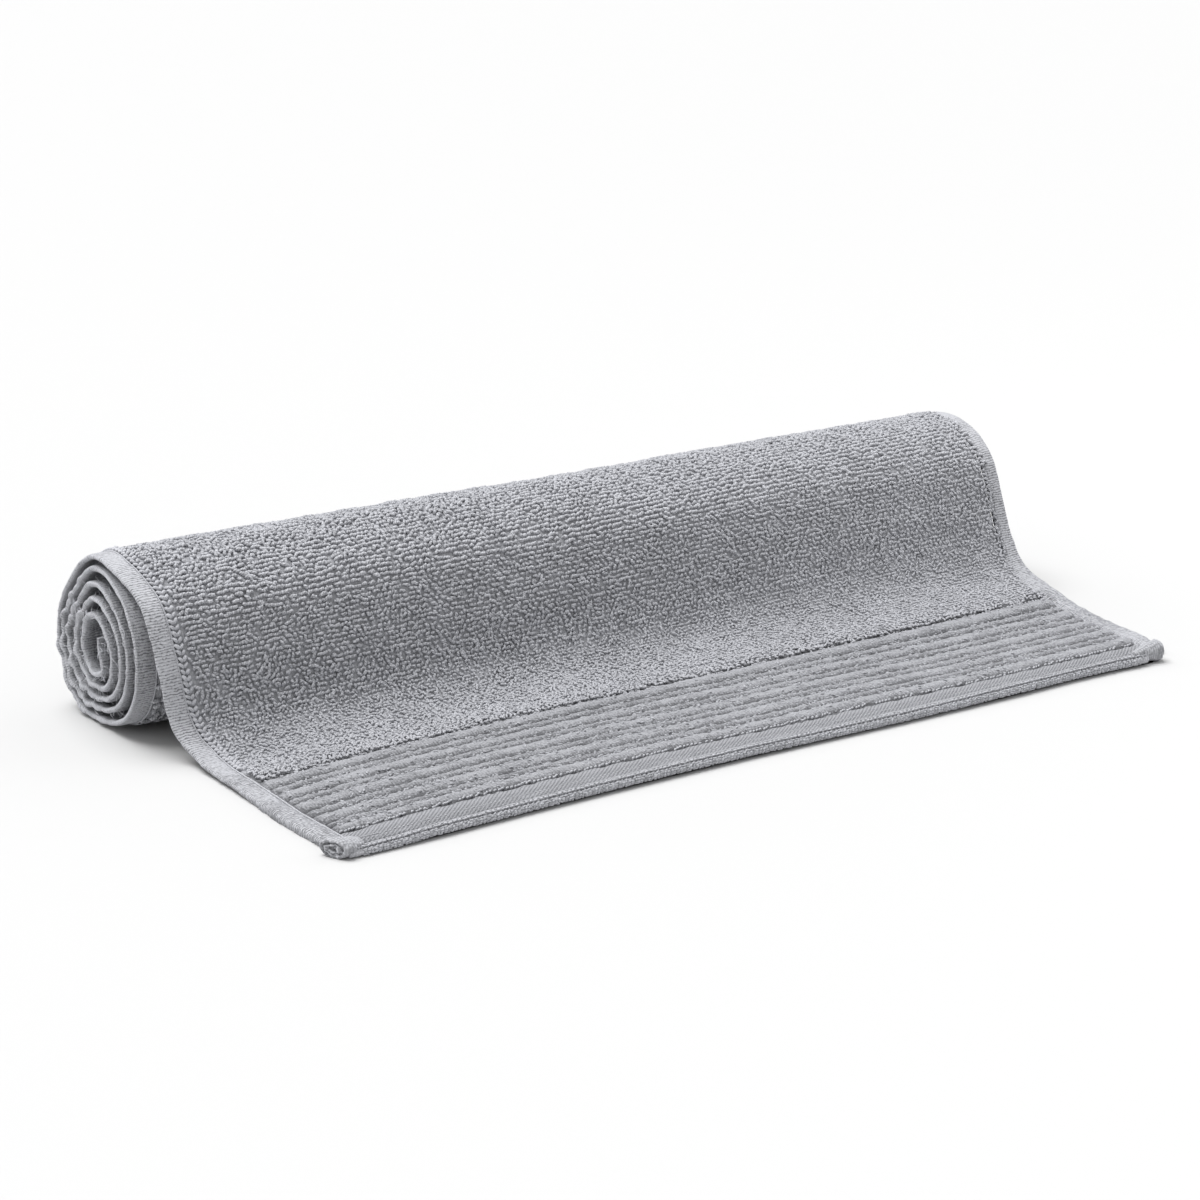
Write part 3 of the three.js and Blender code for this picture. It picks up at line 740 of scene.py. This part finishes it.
def build_coil(side, name, deep, high, skew, hollow, inset):
    """The hem's rolled-up end at a corner: a flat coil whose layers show on its end face."""
    k, rings = 36, 15
    step = np.array([0.0, 0.25, 0.8, 1.5, 2.3, 3.1, 3.9, 4.7, 5.5, 6.3, 7.1, 7.9, 8.8, 9.8, 11.0, 12.5])
    if side == 1:
        step = step * 1.5
    grow = np.interp(step, [0, 0.25, 0.8, 1.5, 5, 9.5, 12.5, 18.7], [0.84, 0.92, 0.98, 1, 0.97, 0.78, 0.6, 0.4])
    s0 = deep + 0.2
    left, right = edges_at(np.array(s0))
    edge = float(left if side == 0 else right)
    sign = 1.0 if side == 0 else -1.0
    c = place(np.full(len(step), s0), step + inset, side, 0.0)[0] * 1000
    th = np.linspace(0, 2 * math.pi, k, endpoint=False)
    cy, cz = np.cos(th), np.sin(th)
    shape_y = np.sign(cy) * np.abs(cy) ** 0.85
    shape_z = np.sign(cz) * np.abs(cz) ** 0.95
    verts = []
    centre_x = c[0, 0]
    for i, q in enumerate(step):
        wrap = 1 + 0.04 * np.sin(2 * math.pi * (q + 0.35 * np.cos(th)) / 2.4) * (q > 1.0)
        wrap = wrap * (1 + 0.07 * lattice_noise(th * 1.6, th * 0 + q / 2.0, 71 + side) + 0.04 * lattice_noise(th * 4.1, th * 0 + q / 1.1, 73))
        y = c[i, 1] - deep * grow[i] * wrap * shape_y + 0.8 * (q > 9) * (q - 9) * -0.15
        z = high + high * grow[i] * wrap * shape_z
        x = c[i, 0] + sign * skew * (c[0, 1] - y) * max(0.0, 1 - q / 10.0)
        verts.append(np.stack([x + 0 * y, y, z], -1))
    faces_v = [np.array(verts).reshape(-1, 3)]
    # painted shade: the coil's body gets a darker tone (0.62) than the roll's 0.8, toning down its lit top
    shade = [np.full(len(step) * k, 0.62)]
    # end face: layers wound round a hollow
    cap = []
    for j in range(1, rings):
        f = 1 - j / rings
        r = f * 0.86
        uneven = 0.34 * lattice_noise(np.cos(th) * 2 + 5, np.sin(th) * 2 + 9 + f, 75) + 0.24 * lattice_noise(th * 1.9, th * 0 + 5 * f, 76)
        wind = np.mod(2.3 * f - th / (2 * math.pi) + uneven, 1.0)
        groove = hollow * (1.5 * np.exp(-((wind - 0.5) / 0.17) ** 2) + 1.2 * (f < 0.22))
        groove = groove + (0.12 + 0.3 * hollow) * lattice_noise(np.cos(th) * 4 * f + 3, np.sin(th) * 4 * f + 8, 77)
        bulge = 0.5 * (1 - f ** 4) * (1 - hollow) * 3.2
        y = c[0, 1] - deep * r * shape_y
        z = high + high * r * shape_z
        x = c[0, 0] + sign * (groove - bulge) + sign * skew * (c[0, 1] - y)
        cap.append(np.stack([x, y, z], -1))
        # painted shade down the end face's grooves between the layers
        shade.append(0.9 - 0.35 * np.clip(groove / 1.5, 0, 1.1))
    faces_v.append(np.array(cap).reshape(-1, 3))
    v = np.concatenate(faces_v)
    o = np.arange(len(step) * k).reshape(len(step), k)
    g = np.arange((rings - 1) * k).reshape(rings - 1, k) + len(step) * k
    nx, gx = np.roll(o, -1, 1), np.roll(g, -1, 1)
    q = [np.stack([o[:-1], o[1:], nx[1:], nx[:-1]], -1).reshape(-1, 4),
         np.stack([g[0], o[0], nx[0], gx[0]], -1), np.stack([g[1:], g[:-1], gx[:-1], gx[1:]], -1).reshape(-1, 4)]
    q = np.concatenate(q)
    v = np.concatenate([v, g_mean(v, g[-1]), g_mean(v, o[-1])])
    tris = np.concatenate([np.stack([g[-1], gx[-1], np.full(k, len(v) - 2)], -1)[:, ::-1],
                           np.stack([o[-1], nx[-1], np.full(k, len(v) - 1)], -1)[:, ::-1]])
    if side == 1:
        q, tris = q[:, ::-1], tris[:, ::-1]
    # painted shade in the end face's hollow centre; the body's end cap stays at 0.8
    shade = np.concatenate(shade + [np.array([0.8 - 0.4 * hollow, 0.8])])
    f = np.stack([v[:, 0] / 1000, v[:, 1] / 1000, shade], -1)
    return mesh_object(name, v / 1000, [q, tris], BEAD, f)


def g_mean(v, ids):
    return v[ids].mean(0)[None]


def cord(side, d, h, s0, s1, radius, seed):
    """A thin raised seam along a side hem."""
    rng = np.random.default_rng(seed)
    s = np.arange(s0, s1, 1.3)
    n, k = len(s), 5
    centre, nor, tan = place(s, np.full(n, d) + 0.12 * lattice_noise(s / 6.0, s * 0, seed), side, np.full(n, h))
    beside = np.cross(nor, tan)
    r = radius * (1 + 0.18 * np.sin(2 * math.pi * s / 2.6 + rng.uniform(0, 6))) / 1000
    v, y = [], []
    for j in range(k):
        a = 2 * math.pi * (j + 0.5) / k - math.pi / 2
        v.append(centre + nor * (r * math.sin(a))[:, None] + beside * (r * math.cos(a))[:, None])
        y.append(np.stack([s / 1000, np.full(n, (j + 0.5) / k), np.zeros(n)], -1))
    v, y = np.stack(v, 1).reshape(-1, 3), np.stack(y, 1).reshape(-1, 3)
    o = np.arange(n * k).reshape(n, k)
    nx = np.roll(o, -1, 1)
    q = np.stack([o[:-1], nx[:-1], nx[1:], o[1:]], -1).reshape(-1, 4)
    v = np.concatenate([v, centre[:1], centre[-1:]])
    y = np.concatenate([y, y[:1], y[-1:]])
    t = np.concatenate([np.stack([o[0], np.full(k, n * k), nx[0]], -1), np.stack([o[-1], nx[-1], np.full(k, n * k + 1)], -1)])
    return v, q, t, y


# ---- looped pile --------------------------------------------------------------
def pile(name, s0, s1, row, gap, length, radius, arch, turn, sides, rings, seed, mat=None, x_range=(0.0, 1.0),
         stray=0.06, base=0.95, tall=0.95, rows_wave=0.5, clear=11.4, soft=0.0, lay=0.0):
    """Rows of yarn loops over the cloth's over side from s0 to s1.

    row, gap: spacing along the cloth and across it; length, radius: (low, high);
    turn: how far (radians) loops swing from the row's direction; stray: share lying any way;
    soft: how much flatter the loops lie towards the right-hand side; lay: how far they all turn along the cloth.
    """
    rng = np.random.default_rng(seed)
    rows = np.arange(s0, s1, row)
    per = int(500 / gap)
    s = np.repeat(rows, per)
    x = np.tile((np.arange(per) + 0.5) * gap, len(rows)) + np.repeat(rng.uniform(0, gap, len(rows)), per)
    n = len(s)
    x = x + rng.normal(0, 0.28 * gap, n)
    s = s + rng.normal(0, 0.10 * row, n) + rows_wave * lattice_noise(x / 21.0, s / 9.0, seed + 1) \
        + 0.35 * rows_wave * lattice_noise(x / 6.0, s / 5.0, seed + 2)
    left, right = edges_at(s)
    s = s - left_pull(left + x, s)
    left, right = edges_at(s)
    width = right - left
    clear_right = clear - (clear - 7.8) * smooth(112, 150, s) + rng.uniform(-0.9, 0.9, n)
    keep = (x > clear) & (x < width - clear_right) & (x > x_range[0] * width) & (x < x_range[1] * width)
    keep &= (s > s0 - 0.5 - 1.1 * left_pull(left + x, s)) & (s < s1 + 0.5)
    s, x = s[keep], x[keep]
    n = len(s)
    share = x / (edges_at(s)[1] - edges_at(s)[0])
    p, nor, tan = place(s, share, 2, base + clump(x + edges_at(s)[0], s) + rng.normal(0, 0.14, n))
    ax = np.array([1.0, 0, 0])[None]
    field = lattice_noise(x / 13.0, s / 10.0, seed + 3) + 0.6 * lattice_noise(x / 5.0, s / 4.0, seed + 4)
    turn, stray, lay = (np.interp(s, (s0, s1), v) if isinstance(v, tuple) else np.full(n, v) for v in (turn, stray, lay))
    ang = lay + turn * field + rng.normal(0, 1, n) * (0.28 * turn + 0.06)
    loose = rng.random(n) < stray + 0.4 * smooth(0.4, 0.85, share)
    ang = np.where(loose, rng.uniform(-1.5, 1.5, n), ang)
    along = ax * np.cos(ang)[:, None] + tan * np.sin(ang)[:, None]
    ln = rng.uniform(*length, n) * np.where(rng.random(n) < 0.12, 1.35, 1.0)
    rad = rng.uniform(*radius, n)
    ar = rng.uniform(*arch, n) * (1 + 0.25 * lattice_noise(x / 9.0, s / 9.0, seed + 5)) * (1 - soft * smooth(0.2, 0.9, share))
    bend = rng.normal(0, 0.42, n) + rng.normal(0, 0.5, n) * np.abs(field) * turn
    return grains(p, along, nor, ln / 1000, rad / 1000, ar / 1000, bend / 1000, tall, sides, rings)


def pile_object(name, mat, *parts):
    v, q, t, y = join(parts)
    return mesh_object(name, v, [q, t], mat, y)


body = build_body()
hem_left = build_side(0, "side_hem_left")
hem_right = build_side(1, "side_hem_right")
border = build_border()
roll = build_roll()
coil_left = build_coil(0, "end_hem_corner_left", 6.6, 3.8, 0.45, 1.0, -1.6)
coil_right = build_coil(1, "end_hem_corner_right", 5.2, 5.1, 0.10, 0.0, 7.1)


def grain_row(s, pitch, length, radius, arch, base, swing, seed, clear=12.0, jitter=0.15, drop=0.0):
    """One line of stitches or grains across the cloth at s."""
    rng = np.random.default_rng(seed)
    x = np.arange(clear, 500 - clear, pitch)
    ss = s + rng.normal(0, jitter, len(x))
    width = np.subtract(*edges_at(ss)[::-1])
    keep = (x < width - clear) & (rng.random(len(x)) >= drop)
    x, ss, width = x[keep], ss[keep], width[keep]
    n = len(x)
    p, nor, tan = place(ss, x / width, 2, np.full(n, base))
    ang = rng.normal(swing, 0.18, n)
    along = np.array([1.0, 0, 0])[None] * np.cos(ang)[:, None] + tan * np.sin(ang)[:, None]
    return grains(p, along, nor, length * rng.uniform(0.85, 1.15, n) / 1000, radius * rng.uniform(0.85, 1.15, n) / 1000,
                  np.full(n, arch / 1000), np.zeros(n), 0.95, 4, 2)


def chain(side, s0, s1, pitch, seed):
    """Plaited chain stitch beside a side hem: two slanting columns that meet in a V."""
    rng = np.random.default_rng(seed)
    out = []
    for column, d, slope in ((0, 10.9, -1), (1, 13.1, 1)):
        s = np.arange(s0, s1, pitch) + rng.normal(0, 0.16, len(np.arange(s0, s1, pitch)))
        n = len(s)
        dd = d + rng.normal(0, 0.12, n)
        p, nor, tan = place(s, dd, side, np.full(n, 0.95))
        across = np.array([1.0 if side == 0 else -1.0, 0, 0])[None]
        ang = slope * 0.85 + rng.normal(0, 0.12, n)
        along = across * np.cos(ang)[:, None] + tan * np.sin(ang)[:, None]
        out.append(grains(p, along, nor, rng.uniform(3.5, 4.4, n) / 1000, rng.uniform(0.78, 1.0, n) / 1000,
                          rng.uniform(0.6, 1.0, n) / 1000, np.zeros(n), 1.0, 5, 3))
    return join(out)


def rib_cover(seed, count):
    """Short loops lying close on the ribs all over."""
    rng = np.random.default_rng(seed)
    pair = rng.integers(0, RIB_PAIRS, count)
    t = np.where(rng.random(count) < 0.64, rng.uniform(0.9, 9.3, count), rng.uniform(11.0, 15.9, count))
    s = RIBS_FROM + pair * RIB_PITCH + t
    x = rng.uniform(13.0, 490, count)
    left, right = edges_at(s)
    w = right - left
    keep = (x < w - 13.0) & (s < BORDER_END - 0.8)
    s, x, left, w = s[keep], x[keep], left[keep], w[keep]
    xx = left + x
    s = s - rib_wander(xx, s)
    h = rib_height(s, xx, np.minimum(x, w - x)) - 0.42
    n = len(s)
    p, nor, tan = place(s, x / w, 2, h)
    ang = rng.normal(0, 0.7, n)
    along = np.array([1.0, 0, 0])[None] * np.cos(ang)[:, None] + tan * np.sin(ang)[:, None]
    return grains(p, along, nor, rng.uniform(1.5, 2.7, n) / 1000, rng.uniform(0.42, 0.56, n) / 1000,
                  rng.uniform(0.2, 0.5, n) / 1000, rng.normal(0, 0.3, n) / 1000, 0.95, 4, 2)


def fibres(seed, count):
    """Fine loose fibres over the innermost turns at the left-hand end."""
    rng = np.random.default_rng(seed)
    s = np.where(rng.random(count) < 0.7, rng.uniform(880, 1049, count), rng.uniform(600, 880, count))
    p, nor, tan = place(s, rng.uniform(0.2, 5.0, count), 0, rng.uniform(0.9, 1.5, count))
    along = rng.normal(0, 1, (count, 3))
    along[:, 0] *= 0.5
    along /= np.linalg.norm(along, axis=1, keepdims=True)
    beside = np.cross(along, rng.normal(0, 1, (count, 3)))
    beside /= np.linalg.norm(beside, axis=1, keepdims=True)
    return grains(p, along, beside, rng.uniform(3.0, 8.0, count) / 1000, rng.uniform(0.11, 0.2, count) / 1000,
                  rng.uniform(0.3, 1.6, count) / 1000, rng.normal(0, 0.5, count) / 1000, 1.0, 3, 4, sink=0.0)


def rib_tufts(seed, count):
    """Scattered short loops, most of them along the broad ribs' upper edges."""
    rng = np.random.default_rng(seed)
    pair = rng.integers(0, RIB_PAIRS, count)
    kind = rng.random(count)
    t = np.where(kind < 0.5, rng.normal(9.0, 0.6, count), np.where(kind < 0.72, rng.uniform(1.5, 8.5, count), rng.normal(15.6, 0.5, count)))
    s = RIBS_FROM + pair * RIB_PITCH + t
    x = rng.uniform(0, 500, count)
    # loops come in loose patches
    keep = lattice_noise(x / 17.0, s / 12.0, seed + 1) + rng.uniform(-0.6, 0.8, count) > 0.0
    left, right = edges_at(s)
    w = right - left
    keep &= (x > 13.5) & (x < w - 13.5) & (s < BORDER_END - 0.5)
    s, x, left, w = s[keep], x[keep], left[keep], w[keep]
    xx = left + x
    s = s - rib_wander(xx, s)
    h = rib_height(s, xx, np.minimum(x, w - x)) - 0.2
    n = len(s)
    p, nor, tan = place(s, x / w, 2, h)
    ang = rng.normal(0, 0.9, n)
    along = np.array([1.0, 0, 0])[None] * np.cos(ang)[:, None] + tan * np.sin(ang)[:, None]
    return grains(p, along, nor, rng.uniform(1.6, 3.0, n) / 1000, rng.uniform(0.40, 0.58, n) / 1000,
                  rng.uniform(0.4, 0.9, n) / 1000, rng.normal(0, 0.25, n) / 1000, 0.95, 4, 2)


loops = [
    border, roll, coil_left, coil_right,
    pile_object("pile_flap", SOFT_LOOPS, pile("a", 100.7, 150, 1.85, 1.95, (1.9, 3.9), (0.62, 0.86), (0.3, 0.75), 1.5, 4, 2, 101, stray=0.5, clear=12.5, soft=0.6, lay=0.6)),
    pile_object("pile_front_low", LOOPS, pile("b", 150, 195, 2.15, 2.1, (2.1, 4.3), (0.78, 1.0), (0.4, 1.1), (1.8, 0.4), 4, 3, 111, stray=(0.5, 0.1), clear=15.5, soft=0.5)),
    pile_object("pile_front_high", LOOPS, pile("c", 195, 240, 2.4, 2.3, (2.4, 4.7), (0.90, 1.1), (0.6, 1.0), (0.35, 1.2), 4, 3, 121, stray=(0.08, 0.5), clear=15.5, soft=0.55, lay=(0.0, 0.5))),
    pile_object("pile_top", SOFT_LOOPS, pile("d", 240, 300, 2.12, 2.1, (2.0, 4.3), (0.82, 1.04), (0.15, 0.5), (1.2, 1.5), 4, 2, 131, stray=(0.5, 0.5), clear=14.5, soft=0.5, lay=(0.6, 1.3), base=1.05, rows_wave=1.3)),
    pile_object("pile_back", LOOPS, pile("e", 300, 342, 2.8, 2.95, (2.8, 4.9), (0.98, 1.22), (0.4, 0.8), 1.0, 4, 2, 140, stray=0.35, clear=10.6),
                pile("e2", 342, 470, 3.8, 4.0, (3.8, 5.9), (1.15, 1.45), (0.6, 0.9), 0.8, 4, 2, 141, stray=0.2, clear=10.6)),
    pile_object("pile_under", LOOPS, pile("f", 470, 512, 2.8, 2.9, (3.0, 4.8), (1.0, 1.2), (1.1, 1.6), 0.35, 4, 3, 151, x_range=(0, 0.3), clear=9.8),
                pile("g", 470, 508, 4.2, 4.4, (4.0, 6.0), (1.3, 1.6), (0.6, 1.0), 0.5, 4, 2, 152, x_range=(0.3, 1)),
                pile("h", 512, 562, 2.8, 2.9, (3.0, 4.8), (1.0, 1.2), (1.1, 1.6), 0.35, 4, 3, 153, x_range=(0, 0.1), clear=9.8)),
    pile_object("pile_ribs", RIB_LOOPS, rib_tufts(161, 3000), rib_cover(162, 3300)),
    pile_object("chain_stitches", THREAD, chain(0, 112, 268, 2.75, 171)),
    pile_object("seam_cords", SEAM, cord(0, 9.55, 1.05, 14, 620, 0.42, 175)),
    pile_object("loose_fibres", FIBRE, fibres(177, 420)),
    pile_object("hem_stitches", THREAD,
                grain_row(10.6, 2.1, 1.3, 0.30, 0.2, 1.75, 0.1, 182, drop=0.12),
                grain_row(21.4, 2.0, 2.4, 0.52, 0.8, 0.6, 0.5, 183, jitter=0.5, drop=0.12),
                roll_grains(59, 2.5, 2.5, 0.50, 185, out=0.0, jitter=1.5, swing=0.15),
                roll_grains(26, 2.5, 2.3, 0.48, 186, out=0.0, jitter=2.0, swing=0.15)),
    pile_object("hem_grain", BEAD_GRAIN, *[roll_grains(th, 1.8, 2.0, 0.56, 190 + k, out=0.02, jitter=3.5)
                                          for k, th in enumerate((-38, -12, 10))]),
]

# ---- stage, light and camera ------------------------------------------------
def make_floor():
    me = bpy.data.meshes.new("floor")
    s = 25.0
    me.from_pydata([(-s, -s, 0), (s, -s, 0), (s, s, 0), (-s, s, 0)], [], [(0, 1, 2, 3)])
    ob = bpy.data.objects.new("floor", me)
    bpy.context.scene.collection.objects.link(ob)
    m, nt, b = material("pale_floor")
    b.inputs["Base Color"].default_value = (0.53, 0.53, 0.53, 1)
    b.inputs["Roughness"].default_value = 0.9
    b.inputs["Specular IOR Level"].default_value = 0.1
    me.materials.append(m)
    return ob


make_floor()
world = bpy.data.worlds.new("studio")
world.use_nodes = True
world.node_tree.nodes["Background"].inputs["Color"].default_value = (1.0, 1.0, 1.0, 1)
world.node_tree.nodes["Background"].inputs["Strength"].default_value = 0.68
bpy.context.scene.world = world
for name, energy, spread, direction in (("softbox_top", 3.72, 46, (0.15, -0.30, -1.0)),
                                        ("softbox_back", 0.45, 45, (0.30, -0.85, -0.42))):
    sun = bpy.data.lights.new(name, "SUN")
    sun.energy = energy
    sun.angle = math.radians(spread)
    sun_at = bpy.data.objects.new(name, sun)
    sun_at.rotation_euler = Vector(direction).to_track_quat("-Z", "Y").to_euler()
    bpy.context.scene.collection.objects.link(sun_at)

panel = bpy.data.lights.new("panel_right", "AREA")
panel.size, panel.energy = 0.6, 1.0
panel_at = bpy.data.objects.new("panel_right", panel)
panel_at.location = (1.0, -0.55, 0.45)
panel_at.rotation_euler = (Vector((0.15, 0.0, 0.03)) - Vector(panel_at.location)).to_track_quat("-Z", "Y").to_euler()
bpy.context.scene.collection.objects.link(panel_at)

cam = bpy.data.cameras.new("camera")
cam.sensor_fit = "HORIZONTAL"
cam.sensor_width = 36.0
cam.lens = 84.0
cam.clip_start, cam.clip_end = 0.05, 50
camera = bpy.data.objects.new("camera", cam)
tilt, turn = 0.277255, 0.606452
forward = Vector((math.sin(turn) * math.cos(tilt), math.cos(turn) * math.cos(tilt), -math.sin(tilt)))
right_of = Vector((math.cos(turn), -math.sin(turn), 0))
up_of = right_of.cross(forward)
rot = Matrix((right_of, up_of, -forward)).transposed().to_4x4()
camera.matrix_world = Matrix.Translation(((-751.08 + ORIGIN_X) / 1000, (-1116.01 + ORIGIN_Y) / 1000, 0.40480)) @ rot
bpy.context.scene.collection.objects.link(camera)
bpy.context.scene.camera = camera
bpy.context.scene.view_settings.view_transform = "Standard"

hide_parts("towel")
